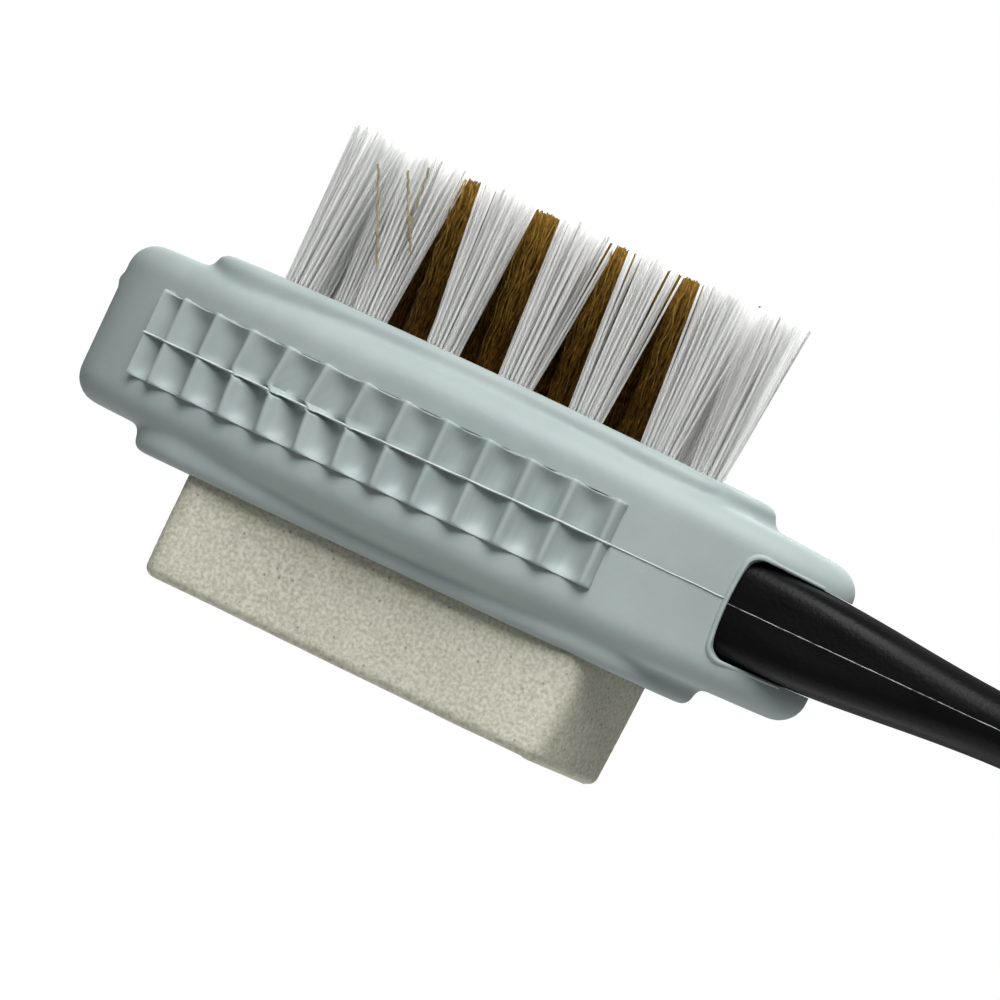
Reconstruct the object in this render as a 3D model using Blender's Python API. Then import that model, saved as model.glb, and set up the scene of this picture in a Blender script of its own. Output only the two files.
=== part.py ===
"""Four-way cleaning brush: a rubber sleeve on a plastic handle, a tufted block above and an eraser below.

X runs along the handle from the toe of the head to the hanging end, Y is the brush's depth and Z points
up from the eraser to the bristle tips. The origin is on the eraser's flat bottom, where the brush stands,
one millimetre short of the eraser's middle. Everything is drawn about the handle's axis and hangs on one
empty at that height. Metres throughout.
"""

import math

import bmesh
import bpy
from mathutils import Vector

# Clearance that touching pieces keep, so that no two solids share a face.
GAP = 0.0003

# Rows of tufts run along X, and each second row sits half a pitch along.
ROW_COUNTS = (6, 6, 6, 5)
ROW_PITCH = 0.0040
TUFT_ROOT_RADIUS = 0.00155
TUFT_MOUTH_RADIUS = 0.0018
TUFT_TIP_GAP = 0.00064
TIP_HEIGHT = 0.0288
BRASS_TIP_DROP = 0.0012
TUFT_SIDES = 10

# Brush block: the margins run from its edges to the middles of the outermost tufts.
BLOCK_X = 0.0019
BLOCK_LENGTH = 0.0532
BLOCK_THICKNESS = 0.0060
BLOCK_CORNER_RADIUS = 0.0034
TOE_MARGIN = 0.0031
HEEL_MARGIN = 0.00335
SIDE_MARGIN = 0.0026
HOLE_FLOOR = 0.0012
HOLE_SIDES = 12

# Flat wire anchor at the bottom of each hole.
ANCHOR_WIDTH = 0.0024
ANCHOR_THICKNESS = 0.0004
ANCHOR_HEIGHT = 0.0010

# Collars that stand above and below the sleeve round the block and the eraser.
COLLAR_END_WALL = 0.0028
COLLAR_SIDE_WALL = 0.0035
COLLAR_RISE = 0.00195
COLLAR_EDGE_RADIUS = 0.0012
COLLAR_SQUARENESS = 4.0
COLLAR_SKIRT = 0.0005

# Rubber sleeve: a puck with a pointed oval plan that reaches beyond the collars.
TOE_REACH = 0.0109
HEEL_REACH = 0.0127
SIDE_REACH = 0.0029
SLEEVE_HALF_HEIGHT = 0.0091
SLEEVE_EDGE_RADIUS = 0.0030
SLEEVE_POINT = 0.56
SLEEVE_BULGE_X = 0.0014
SLEEVE_SIDES = 56
EDGE_STEPS = 3

# Height that the sleeve loses towards its ends; the heel droops more above than below.
TOE_DROP = 0.0006
HEEL_DROP_TOP = 0.0012
HEEL_DROP_BOTTOM = 0.0006
TALLEST_X = 0.0100

# Ribbed rubber comb on each long side, laid along the side from COMB_START past the toe.
COMB_HOLLOWS = 12
COMB_PITCH = 0.0048
COMB_START = 0.0132
COMB_HALF_HEIGHT = 0.0046
COMB_CREST = 0.0013
COMB_VALLEY = 0.0003
COMB_ROOT = 0.0015
COMB_STEPS = 8

# Eraser block: its plan stays inside the lower collar by the margins.
ERASER_X = 0.0010
ERASER_END_MARGIN = 0.0073
ERASER_SIDE_MARGIN = 0.0021
ERASER_DROP = 0.0224
ERASER_CORNER_RADIUS = 0.0026
ERASER_EDGE_RADIUS = 0.0010

# Handle: a core plate inside the sleeve, a boxy root that leaves it, an oval neck and a grip.
PLATE_HALF_THICKNESS = 0.0020
ROOT_HALF_HEIGHT = 0.00535
ROOT_HALF_DEPTH = 0.0084
ROOT_SQUARENESS = 5.5
ROOT_END_X = 0.0350
NECK_X = 0.0680
NECK_HALF_HEIGHT = 0.0034
NECK_HALF_DEPTH = 0.0050
GRIP_X = 0.1020
GRIP_HALF_HEIGHT = 0.0040
GRIP_HALF_DEPTH = 0.0078
GRIP_SQUARENESS = 2.4
HANDLE_END_X = 0.1235
HANDLE_END_ROUND = 0.0070
END_THINNEST = 0.35
HANDLE_SIDES = 24

# Tongue that ties the root to the core plate.
TONGUE_OVERLAP = 0.0030
TONGUE_DEPTH_SHARE = 0.7
TONGUE_HEIGHT_SHARE = 0.9

# Slot through the heel, where two lobes of rubber grip the root from above and below.
SLOT_X = 0.0357
SLOT_CORNER = 0.00125

# Hanging hole near the handle's end.
HANG_HOLE_X = 0.1135
HANG_HOLE_HALF_LENGTH = 0.0046
HANG_HOLE_HALF_WIDTH = 0.0032

AXIS_HEIGHT = ERASER_DROP
SMOOTH_ANGLE = math.radians(40)

# Sizes worked out from the ones above, so that a change carries through every fit.
TUFT_PITCH = (BLOCK_LENGTH - TOE_MARGIN - HEEL_MARGIN) / (ROW_COUNTS[0] - 0.5)
FIRST_TUFT_X = BLOCK_X - BLOCK_LENGTH / 2 + TOE_MARGIN
TUFT_TIP_RADIUS = (math.hypot(ROW_PITCH, TUFT_PITCH / 2) - TUFT_TIP_GAP) / 2
HOLE_RADIUS = TUFT_ROOT_RADIUS + GAP
BLOCK_DEPTH = ROW_PITCH * (len(ROW_COUNTS) - 1) + 2 * SIDE_MARGIN
BLOCK_BOTTOM = PLATE_HALF_THICKNESS + GAP
BLOCK_TOP = BLOCK_BOTTOM + BLOCK_THICKNESS
HOLE_BOTTOM = BLOCK_BOTTOM + HOLE_FLOOR
ANCHOR_BOTTOM = HOLE_BOTTOM + GAP
TUFT_BOTTOM = ANCHOR_BOTTOM + ANCHOR_HEIGHT + GAP
COLLAR_HALF_LENGTH = BLOCK_X + BLOCK_LENGTH / 2 + COLLAR_END_WALL
COLLAR_HALF_DEPTH = BLOCK_DEPTH / 2 + COLLAR_SIDE_WALL
COLLAR_HALF_HEIGHT = SLEEVE_HALF_HEIGHT + COLLAR_RISE
SLEEVE_TOE = COLLAR_HALF_LENGTH + TOE_REACH
SLEEVE_HEEL = COLLAR_HALF_LENGTH + HEEL_REACH
SLEEVE_HALF_DEPTH = COLLAR_HALF_DEPTH + SIDE_REACH
ERASER_LENGTH = 2 * (COLLAR_HALF_LENGTH - ERASER_END_MARGIN)
ERASER_DEPTH = 2 * (COLLAR_HALF_DEPTH - ERASER_SIDE_MARGIN)
ROOT_START_X = BLOCK_X + BLOCK_LENGTH / 2 + GAP


def clear_scene():
    for thing in list(bpy.data.objects):
        bpy.data.objects.remove(thing, do_unlink=True)


def principled(name, colour, roughness, metallic=0.0):
    material = bpy.data.materials.new(name)
    material.use_nodes = True
    shader = material.node_tree.nodes["Principled BSDF"]
    shader.inputs["Base Color"].default_value = (*colour, 1.0)
    shader.inputs["Roughness"].default_value = roughness
    shader.inputs["Metallic"].default_value = metallic
    return material


def smoothstep(start, end, value):
    t = min(max((value - start) / (end - start), 0.0), 1.0)
    return t * t * (3 - 2 * t)


def superellipse(half_x, half_y, squareness, angle):
    """Point of a rounded box outline; squareness 2 is an ellipse and more is squarer."""
    power = 2 / squareness
    c, s = math.cos(angle), math.sin(angle)
    return half_x * math.copysign(abs(c) ** power, c), half_y * math.copysign(abs(s) ** power, s)


def rounded_rectangle(half_x, half_y, radius, steps=4):
    """Plan outline of a rectangle with quarter-circle corners, anticlockwise."""
    corners = ((1, 1, 0), (-1, 1, 90), (-1, -1, 180), (1, -1, 270))
    points = []
    for sign_x, sign_y, start in corners:
        for step in range(steps + 1):
            angle = math.radians(start + 90 * step / steps)
            points.append(
                (
                    sign_x * (half_x - radius) + radius * math.cos(angle),
                    sign_y * (half_y - radius) + radius * math.sin(angle),
                )
            )
    return points


def box_rings(middle_x, length, depth, radius, grow, low, high):
    """Two rings that make an upright block with rounded corners, larger all round by grow."""
    outline = rounded_rectangle(length / 2 + grow, depth / 2 + grow, radius + grow)
    return [[(x + middle_x, y, z) for x, y in outline] for z in (low, high)]


def block_rings(grow, low, high):
    """The brush block's plan between two heights; the core plate and the window share it."""
    return box_rings(BLOCK_X, BLOCK_LENGTH, BLOCK_DEPTH, BLOCK_CORNER_RADIUS, grow, low, high)


def add_object(name, bm, material, parent):
    bmesh.ops.recalc_face_normals(bm, faces=bm.faces)
    mesh = bpy.data.meshes.new(name)
    bm.to_mesh(mesh)
    bm.free()
    mesh.shade_smooth()
    mesh.set_sharp_from_angle(angle=SMOOTH_ANGLE)
    if material:
        mesh.materials.append(material)
    thing = bpy.data.objects.new(name, mesh)
    bpy.context.scene.collection.objects.link(thing)
    thing.parent = parent
    return thing


def skin_rings(bm, rings):
    """Joins closed rings of points in order and caps both ends."""
    loops = [[bm.verts.new(point) for point in ring] for ring in rings]
    for lower, upper in zip(loops, loops[1:]):
        for i, vertex in enumerate(lower):
            j = (i + 1) % len(lower)
            bm.faces.new((vertex, lower[j], upper[j], upper[i]))
    bm.faces.new(list(reversed(loops[0])))
    bm.faces.new(loops[-1])


def loft(name, rings, material, parent):
    bm = bmesh.new()
    skin_rings(bm, rings)
    return add_object(name, bm, material, parent)


def cutter(thing):
    thing.hide_render = True
    thing.display_type = "WIRE"
    return thing


def boolean(target, tool, operation):
    modifier = target.modifiers.new(f"{operation.lower()}_{tool.name}", "BOOLEAN")
    modifier.operation = operation
    modifier.solver = "EXACT"
    modifier.object = cutter(tool)


def sleeve_outline(angle, inset=0.0):
    """Plan of the sleeve: sin to a power above one draws the ends in to a soft point."""
    reach = SLEEVE_HEEL - SLEEVE_BULGE_X if math.cos(angle) > 0 else SLEEVE_TOE + SLEEVE_BULGE_X
    s = math.sin(angle)
    depth = (SLEEVE_HALF_DEPTH - inset) * math.copysign(abs(s) ** (2 * SLEEVE_POINT), s)
    return SLEEVE_BULGE_X + (reach - inset) * math.cos(angle), depth


def sleeve_height_share(x, above):
    """Share of the full half height that the sleeve has at x, above or below the axis."""
    if x < TALLEST_X:
        drop = TOE_DROP * ((TALLEST_X - x) / (TALLEST_X + SLEEVE_TOE)) ** 2
    else:
        heel_drop = HEEL_DROP_TOP if above else HEEL_DROP_BOTTOM
        drop = heel_drop * ((x - TALLEST_X) / (SLEEVE_HEEL - TALLEST_X)) ** 2
    return 1 - drop / SLEEVE_HALF_HEIGHT


def sleeve_rings():
    levels = []
    for step in range(EDGE_STEPS + 1):
        turn = math.radians(90 * step / EDGE_STEPS)
        inset = SLEEVE_EDGE_RADIUS * (1 - math.cos(turn))
        levels.append((inset, SLEEVE_HALF_HEIGHT - SLEEVE_EDGE_RADIUS * (1 - math.sin(turn))))
    levels = [(inset, -z) for inset, z in reversed(levels)] + levels
    rings = []
    for inset, z in levels:
        ring = []
        for i in range(SLEEVE_SIDES):
            x, y = sleeve_outline(2 * math.pi * i / SLEEVE_SIDES, inset)
            ring.append((x, y, z * sleeve_height_share(x, z > 0)))
        rings.append(ring)
    return rings


def collar_rings(side):
    """A low wall on the sleeve: a foot inside it, a flared skirt, a straight rise and a rounded rim."""
    foot = SLEEVE_HALF_HEIGHT - SLEEVE_EDGE_RADIUS
    levels = (
        (0.0, foot),
        (COLLAR_SKIRT, SLEEVE_HALF_HEIGHT - SLEEVE_EDGE_RADIUS / 2),
        (COLLAR_SKIRT * 0.75, SLEEVE_HALF_HEIGHT - COLLAR_SKIRT * 0.4),
        (COLLAR_SKIRT * 0.2, SLEEVE_HALF_HEIGHT + COLLAR_SKIRT * 0.4),
        (0.0, COLLAR_HALF_HEIGHT - COLLAR_EDGE_RADIUS),
        (-COLLAR_EDGE_RADIUS * 0.3, COLLAR_HALF_HEIGHT - COLLAR_EDGE_RADIUS * 0.3),
        (-COLLAR_EDGE_RADIUS, COLLAR_HALF_HEIGHT),
    )
    rings = []
    for grow, z in levels:
        ring = []
        for i in range(SLEEVE_SIDES):
            x, y = superellipse(
                COLLAR_HALF_LENGTH + grow,
                COLLAR_HALF_DEPTH + grow,
                COLLAR_SQUARENESS,
                2 * math.pi * i / SLEEVE_SIDES,
            )
            ring.append((x, y, side * z))
        rings.append(ring)
    return rings


def side_curve():
    """The sleeve's near side from toe to heel, as (distance along it, point, outward normal)."""
    steps = 400
    points = [Vector(sleeve_outline(math.pi + math.pi * i / steps)) for i in range(steps + 1)]
    curve = []
    travelled = 0.0
    for before, after in zip(points, points[1:]):
        run = after - before
        curve.append((travelled, before, Vector((run.y, -run.x)).normalized()))
        travelled += run.length
    return curve


def comb_outline():
    """Plan of the near comb: sharp crests and round hollows outside the side, a straight root inside it."""
    curve = side_curve()
    samples = COMB_HOLLOWS * COMB_STEPS
    outer, inner = [], []
    for i in range(samples + 1):
        wanted = COMB_START + COMB_PITCH * i / COMB_STEPS
        _, point, normal = min(curve, key=lambda entry: abs(entry[0] - wanted))
        hollow = abs(math.sin(math.pi * i / COMB_STEPS))
        outer.append(point + normal * (COMB_CREST + (COMB_VALLEY - COMB_CREST) * hollow))
        if i % (COMB_STEPS // 2) == 0:
            inner.append(point - normal * COMB_ROOT)
    return outer + list(reversed(inner))


def comb(name, side, parent):
    outline = [(x, -side * y) for x, y in comb_outline()]
    rings = [[(x, y, z) for x, y in outline] for z in (-COMB_HALF_HEIGHT, COMB_HALF_HEIGHT)]
    return loft(name, rings, None, parent)


def handle_half_sizes(x, extra=0.0):
    """Half depth and half height of the handle's section at x."""
    to_neck = smoothstep(ROOT_END_X, NECK_X, x)
    to_grip = smoothstep(NECK_X, GRIP_X, x)
    depth = ROOT_HALF_DEPTH + (NECK_HALF_DEPTH - ROOT_HALF_DEPTH) * to_neck
    depth += (GRIP_HALF_DEPTH - NECK_HALF_DEPTH) * to_grip
    height = ROOT_HALF_HEIGHT + (NECK_HALF_HEIGHT - ROOT_HALF_HEIGHT) * to_neck
    height += (GRIP_HALF_HEIGHT - NECK_HALF_HEIGHT) * to_grip
    past = max(x - (HANDLE_END_X - HANDLE_END_ROUND), 0.0) / HANDLE_END_ROUND
    shrink = math.sqrt(max(1 - past * past, 0.0))
    return depth * shrink + extra, height * (END_THINNEST + (1 - END_THINNEST) * shrink) + extra


def handle_section(x, extra=0.0):
    half_depth, half_height = handle_half_sizes(x, extra)
    to_neck = smoothstep(ROOT_END_X, NECK_X, x)
    squareness = ROOT_SQUARENESS + (GRIP_SQUARENESS - ROOT_SQUARENESS) * to_neck
    ring = []
    for i in range(HANDLE_SIDES):
        y, z = superellipse(half_depth, half_height, squareness, 2 * math.pi * i / HANDLE_SIDES)
        ring.append((x, y, z))
    return ring


def slot_rings():
    """A slot right through the heel: it follows the root's height and ends in two rounded corners."""
    upper = [(x, handle_half_sizes(x, GAP)[1]) for x in reversed(bore_stations()[2:])]
    shoulder = SLOT_X + SLOT_CORNER
    height = handle_half_sizes(shoulder, GAP)[1]
    for step in range(EDGE_STEPS + 1):
        turn = math.radians(90 * step / EDGE_STEPS)
        upper.append((shoulder - SLOT_CORNER * math.sin(turn), height - SLOT_CORNER * (1 - math.cos(turn))))
    outline = upper + [(x, -z) for x, z in reversed(upper)]
    reach = SLEEVE_HALF_DEPTH + COMB_CREST
    return [[(x, y, z) for x, z in outline] for y in (-reach, reach)]


def tuft_places():
    """(row, column, x, y, is brass) for each tuft, row by row from the near side."""
    places = []
    for row, count in enumerate(ROW_COUNTS):
        y = (row - (len(ROW_COUNTS) - 1) / 2) * ROW_PITCH
        for column in range(count):
            x = FIRST_TUFT_X + TUFT_PITCH * (column + 0.5 * (row % 2))
            inner_row = 0 < row < len(ROW_COUNTS) - 1
            brass = inner_row and 0 < column < count - 1
            places.append((row, column, x, y, brass))
    return places


def ring_at(x, y, z, radius, sides):
    return [
        (
            x + radius * math.cos(2 * math.pi * i / sides),
            y + radius * math.sin(2 * math.pi * i / sides),
            z,
        )
        for i in range(sides)
    ]


def make_sleeve(parent, material):
    sleeve = loft("rubber_sleeve", sleeve_rings(), material, parent)
    boolean(sleeve, loft("tool_upper_collar", collar_rings(1), None, parent), "UNION")
    boolean(sleeve, loft("tool_lower_collar", collar_rings(-1), None, parent), "UNION")
    boolean(sleeve, comb("tool_near_comb", 1, parent), "UNION")
    boolean(sleeve, comb("tool_far_comb", -1, parent), "UNION")
    # The plate and the brush block fill the upper window; the eraser fills the lower one.
    ledge = -(PLATE_HALF_THICKNESS + GAP)
    outside = 2 * COLLAR_HALF_HEIGHT
    block_window = block_rings(GAP, ledge, outside)
    boolean(sleeve, loft("tool_block_window", block_window, None, parent), "DIFFERENCE")
    eraser_window = box_rings(
        ERASER_X, ERASER_LENGTH, ERASER_DEPTH, ERASER_CORNER_RADIUS, GAP, -outside, ledge + GAP
    )
    boolean(sleeve, loft("tool_eraser_window", eraser_window, None, parent), "DIFFERENCE")
    bore = [handle_section(x, GAP) for x in bore_stations()]
    boolean(sleeve, loft("tool_bore", bore, None, parent), "DIFFERENCE")
    boolean(sleeve, loft("tool_slot", slot_rings(), None, parent), "DIFFERENCE")
    return sleeve


def bore_stations():
    end = SLEEVE_HEEL + SLEEVE_EDGE_RADIUS
    middle = (ROOT_END_X + end) / 2
    return (ROOT_START_X - GAP, ROOT_END_X, middle, end)


def make_handle(parent, material):
    stations = [ROOT_START_X, *bore_stations()[1:]]
    neck_runs, end_runs = 9, 5
    first = stations[-1]
    straight_end = HANDLE_END_X - HANDLE_END_ROUND
    stations += [first + (straight_end - first) * i / neck_runs for i in range(1, neck_runs + 1)]
    for i in range(1, end_runs + 1):
        turn = math.radians(84 * i / end_runs)
        stations.append(straight_end + HANDLE_END_ROUND * math.sin(turn))
    handle = loft("handle", [handle_section(x) for x in stations], material, parent)
    plate = block_rings(0, -PLATE_HALF_THICKNESS, PLATE_HALF_THICKNESS)
    boolean(handle, loft("tool_core_plate", plate, None, parent), "UNION")
    half_y, half_z = ROOT_HALF_DEPTH * TONGUE_DEPTH_SHARE, PLATE_HALF_THICKNESS * TONGUE_HEIGHT_SHARE
    corners = ((-1, -1), (1, -1), (1, 1), (-1, 1))
    tongue = [
        [(x, sy * half_y, sz * half_z) for sy, sz in corners]
        for x in (ROOT_START_X - TONGUE_OVERLAP, ROOT_END_X)
    ]
    boolean(handle, loft("tool_tongue", tongue, None, parent), "UNION")
    outline = rounded_rectangle(HANG_HOLE_HALF_LENGTH, HANG_HOLE_HALF_WIDTH, 0.99 * HANG_HOLE_HALF_WIDTH, 6)
    reach = 2 * GRIP_HALF_HEIGHT
    hole = [[(x + HANG_HOLE_X, y, z) for x, y in outline] for z in (-reach, reach)]
    boolean(handle, loft("tool_hang_hole", hole, None, parent), "DIFFERENCE")
    return handle


def make_eraser(parent, material):
    half_x, half_y = ERASER_LENGTH / 2, ERASER_DEPTH / 2
    top = -(PLATE_HALF_THICKNESS + GAP)
    edge = ERASER_EDGE_RADIUS
    levels = (
        (edge, -ERASER_DROP),
        (edge * 0.3, -ERASER_DROP + edge * 0.3),
        (0, -ERASER_DROP + edge),
        (0, top),
    )
    rings = []
    for inset, z in levels:
        outline = rounded_rectangle(half_x - inset, half_y - inset, ERASER_CORNER_RADIUS - inset)
        rings.append([(x + ERASER_X, y, z) for x, y in outline])
    return loft("eraser_block", rings, material, parent)


def make_brush_block(parent, material):
    rings = block_rings(0, BLOCK_BOTTOM, BLOCK_TOP)
    block = loft("brush_block", rings, material, parent)
    ends = (HOLE_BOTTOM, BLOCK_TOP + GAP)
    bm = bmesh.new()
    for _, _, x, y, _ in tuft_places():
        skin_rings(bm, [ring_at(x, y, z, HOLE_RADIUS, HOLE_SIDES) for z in ends])
    boolean(block, add_object("tool_tuft_holes", bm, None, parent), "DIFFERENCE")
    return block


def make_tufts(parent, nylon, brass):
    for row, column, x, y, is_brass in tuft_places():
        tip = TIP_HEIGHT - (BRASS_TIP_DROP if is_brass else 0)
        rings = [
            ring_at(x, y, z, radius, TUFT_SIDES)
            for z, radius in (
                (TUFT_BOTTOM, TUFT_ROOT_RADIUS),
                (BLOCK_TOP, TUFT_ROOT_RADIUS),
                (COLLAR_HALF_HEIGHT, TUFT_MOUTH_RADIUS),
                (tip, TUFT_TIP_RADIUS),
            )
        ]
        kind = "brass" if is_brass else "nylon"
        name = f"{kind}_tuft_row{row + 1}_{column + 1}"
        loft(name, rings, brass if is_brass else nylon, parent)


def make_anchors(parent, material):
    """A flat strip across each hole, under the fold of its tuft."""
    half_width, half_thickness = ANCHOR_WIDTH / 2, ANCHOR_THICKNESS / 2
    corners = ((-1, -1), (1, -1), (1, 1), (-1, 1))
    for row, column, x, y, _ in tuft_places():
        rings = [
            [(sx * half_width, sy * half_thickness, z) for sx, sy in corners]
            for z in (0, ANCHOR_HEIGHT)
        ]
        anchor = loft(f"tuft_anchor_row{row + 1}_{column + 1}", rings, material, parent)
        anchor.location = (x, y, ANCHOR_BOTTOM)


def main():
    clear_scene()
    axis = bpy.data.objects.new("brush_axis", None)
    bpy.context.scene.collection.objects.link(axis)
    axis.location = (0, 0, AXIS_HEIGHT)
    make_sleeve(axis, principled("grey_rubber", (0.36, 0.41, 0.42), 0.6))
    make_handle(axis, principled("black_plastic", (0.012, 0.012, 0.013), 0.35))
    make_eraser(axis, principled("gritty_rubber", (0.58, 0.56, 0.48), 0.9))
    make_brush_block(axis, principled("white_plastic", (0.75, 0.75, 0.72), 0.5))
    make_tufts(
        axis,
        principled("nylon_filament", (0.80, 0.82, 0.80), 0.35),
        principled("brass_wire", (0.45, 0.27, 0.08), 0.4, 1.0),
    )
    make_anchors(axis, principled("steel_strip", (0.6, 0.6, 0.6), 0.35, 1.0))


main()
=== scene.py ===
# %% [markdown]
# # A four-way cleaning brush
# This lesson dresses a finished assembly: a grey rubber head on a black handle, with bristles above and an
# eraser block below. The assembly gives every size. Here each piece gets the surface that a hand would
# feel.

# %% Load the assembly
import bisect
import math
import random

import bmesh
import bpy
from mathutils import Matrix, Vector, noise


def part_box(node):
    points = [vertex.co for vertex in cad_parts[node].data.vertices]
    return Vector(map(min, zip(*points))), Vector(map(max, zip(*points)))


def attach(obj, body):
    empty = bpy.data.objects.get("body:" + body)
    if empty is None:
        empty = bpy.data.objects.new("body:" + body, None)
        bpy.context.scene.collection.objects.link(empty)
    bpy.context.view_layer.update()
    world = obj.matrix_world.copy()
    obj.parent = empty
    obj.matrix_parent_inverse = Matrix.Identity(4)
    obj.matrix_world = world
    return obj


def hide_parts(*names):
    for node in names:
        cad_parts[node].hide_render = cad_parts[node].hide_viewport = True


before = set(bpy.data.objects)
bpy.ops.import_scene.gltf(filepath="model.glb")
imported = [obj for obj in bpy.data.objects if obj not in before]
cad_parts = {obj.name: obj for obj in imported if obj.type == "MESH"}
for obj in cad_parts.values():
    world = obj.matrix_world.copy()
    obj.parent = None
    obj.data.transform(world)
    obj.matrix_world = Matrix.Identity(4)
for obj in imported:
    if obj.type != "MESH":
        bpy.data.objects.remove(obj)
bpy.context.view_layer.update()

# %% [markdown]
# ## Places that everything hangs on
# A brush head is built about the axis of its handle. Numbers typed in twice drift apart, so the axis, the
# ends of the rubber and the height of the tips are all read from the assembly, and only what it can't say
# is typed here.

# %% Measure the assembly
MM = 0.001
sleeve_low, sleeve_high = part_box("rubber_sleeve")
eraser_low, eraser_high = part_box("eraser_block")
block_low, block_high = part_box("brush_block")
_, handle_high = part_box("handle")
tuft_names = sorted(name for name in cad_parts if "_tuft_row" in name)
AXIS_Z = (sleeve_low.z + sleeve_high.z) / 2
TIP_Z = max(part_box(name)[1].z for name in tuft_names)
rng = random.Random(4)
print("axis height mm", round(AXIS_Z / MM, 2), "tufts", len(tuft_names))

# %% [markdown]
# ## Helpers for lofted shapes
# Most pieces here are rings of points joined in order. One function makes the skin, a second puts it in
# the scene and a third keeps the result of an object's modifiers, so the rest of the lesson can stay
# short.

# %% Ring and mesh helpers
def skin_rings(bm, rings):
    loops = [[bm.verts.new(point) for point in ring] for ring in rings]
    for lower, upper in zip(loops, loops[1:]):
        for i, vertex in enumerate(lower):
            j = (i + 1) % len(lower)
            bm.faces.new((vertex, lower[j], upper[j], upper[i]))
    bm.faces.new(list(reversed(loops[0])))
    bm.faces.new(loops[-1])
    return loops


def place(name, bm):
    bmesh.ops.recalc_face_normals(bm, faces=bm.faces)
    mesh = bpy.data.meshes.new(name)
    bm.to_mesh(mesh)
    bm.free()
    mesh.shade_smooth()
    thing = bpy.data.objects.new(name, mesh)
    bpy.context.scene.collection.objects.link(thing)
    return thing


def keep_modifiers(thing):
    bpy.context.view_layer.update()
    graph = bpy.context.evaluated_depsgraph_get()
    mesh = bpy.data.meshes.new_from_object(thing.evaluated_get(graph))
    thing.modifiers.clear()
    thing.data = mesh
    mesh.name = thing.name
    return thing


def superellipse(half_x, half_y, squareness, angle):
    power = 2 / squareness
    c, s = math.cos(angle), math.sin(angle)
    return half_x * math.copysign(abs(c) ** power, c), half_y * math.copysign(abs(s) ** power, s)


def rounded_rectangle(half_x, half_y, radius, steps):
    points = []
    for sign_x, sign_y, start in ((1, 1, 0), (-1, 1, 90), (-1, -1, 180), (1, -1, 270)):
        for step in range(steps + 1):
            angle = math.radians(start + 90 * step / steps)
            points.append((
                sign_x * (half_x - radius) + radius * math.cos(angle),
                sign_y * (half_y - radius) + radius * math.sin(angle),
            ))
    return points


def smoothstep(start, end, value):
    t = min(max((value - start) / (end - start), 0.0), 1.0)
    return t * t * (3 - 2 * t)


# %% [markdown]
# ## The rubber sleeve: its plan
# The sleeve is a puck whose plan is an oval with softly pointed ends. A plain ellipse is a little too full
# at its ends, so the depth follows the sine of the angle raised to a power just above one.

# %% Sleeve sizes and plan
BULGE_X = 1.4 * MM
HALF_DEPTH = 15.0 * MM
HALF_HEIGHT = 9.1 * MM
EDGE_RADIUS = 3.0 * MM
DEPTH_POWER = 1.12
TOE_DROP, HEEL_DROP_TOP, HEEL_DROP_BOTTOM, TALLEST_X = 0.6 * MM, 1.2 * MM, 0.6 * MM, 10 * MM
SLEEVE_SIDES = 200
NUB_PROUD = 0.45 * MM
TOE_REACH = BULGE_X - sleeve_low.x - NUB_PROUD
HEEL_REACH = sleeve_high.x - BULGE_X


def sleeve_plan(angle, inset=0.0):
    reach = HEEL_REACH if math.cos(angle) > 0 else TOE_REACH
    s = math.sin(angle)
    depth = (HALF_DEPTH - inset) * math.copysign(abs(s) ** DEPTH_POWER, s)
    return BULGE_X + (reach - inset) * math.cos(angle), depth


def height_share(x, top):
    if x < TALLEST_X:
        drop = TOE_DROP * ((TALLEST_X - x) / (TALLEST_X - sleeve_low.x)) ** 2
    else:
        heel_drop = HEEL_DROP_TOP if top else HEEL_DROP_BOTTOM
        drop = heel_drop * ((x - TALLEST_X) / (sleeve_high.x - TALLEST_X)) ** 2
    return 1 - drop / HALF_HEIGHT


def puck_rings(edge_steps=8):
    levels = []
    for step in range(edge_steps + 1):
        turn = math.radians(90 * step / edge_steps)
        height = HALF_HEIGHT - EDGE_RADIUS * (1 - math.sin(turn))
        levels.append((EDGE_RADIUS * (1 - math.cos(turn)), height))
    levels = [(inset, -z) for inset, z in reversed(levels)] + levels
    rings = []
    for inset, z in levels:
        plan = [sleeve_plan(2 * math.pi * i / SLEEVE_SIDES, inset) for i in range(SLEEVE_SIDES)]
        rings.append([(x, y, AXIS_Z + z * height_share(x, z > 0)) for x, y in plan])
    return rings


print("sleeve length mm", round((sleeve_high.x - sleeve_low.x) / MM, 1))

# %% [markdown]
# ## The collars
# A low wall stands on the puck above and below, to grip the brush block and the eraser. A moulder gives
# its foot a flare, because a sharp inner corner would tear when the rubber is pulled off its mould.

# %% Collar rings
COLLAR_HALF_LENGTH, COLLAR_HALF_DEPTH = 31.2 * MM, 12.0 * MM
COLLAR_SQUARENESS = 4.0
COLLAR_HALF_HEIGHT = (sleeve_high.z - sleeve_low.z) / 2
RIM_RADIUS = 1.1 * MM
SKIRT = 0.5 * MM
SKIRT_BELOW, SKIRT_HEIGHT, SKIRT_CURVE = 0.35 * MM, 1.25 * MM, 2.2
COLLAR_SAG = 0.5 * MM


def room_for_skirt(x, y):
    """How far the collar's foot may spread before it hangs over the puck's rounded edge."""
    share = min(abs(x - BULGE_X) / (HEEL_REACH if x > BULGE_X else TOE_REACH), 1.0)
    depth = HALF_DEPTH * (1 - share * share) ** (DEPTH_POWER / 2)
    return min(max(depth - 0.9 * EDGE_RADIUS - abs(y), 0.0), SKIRT)


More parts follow.
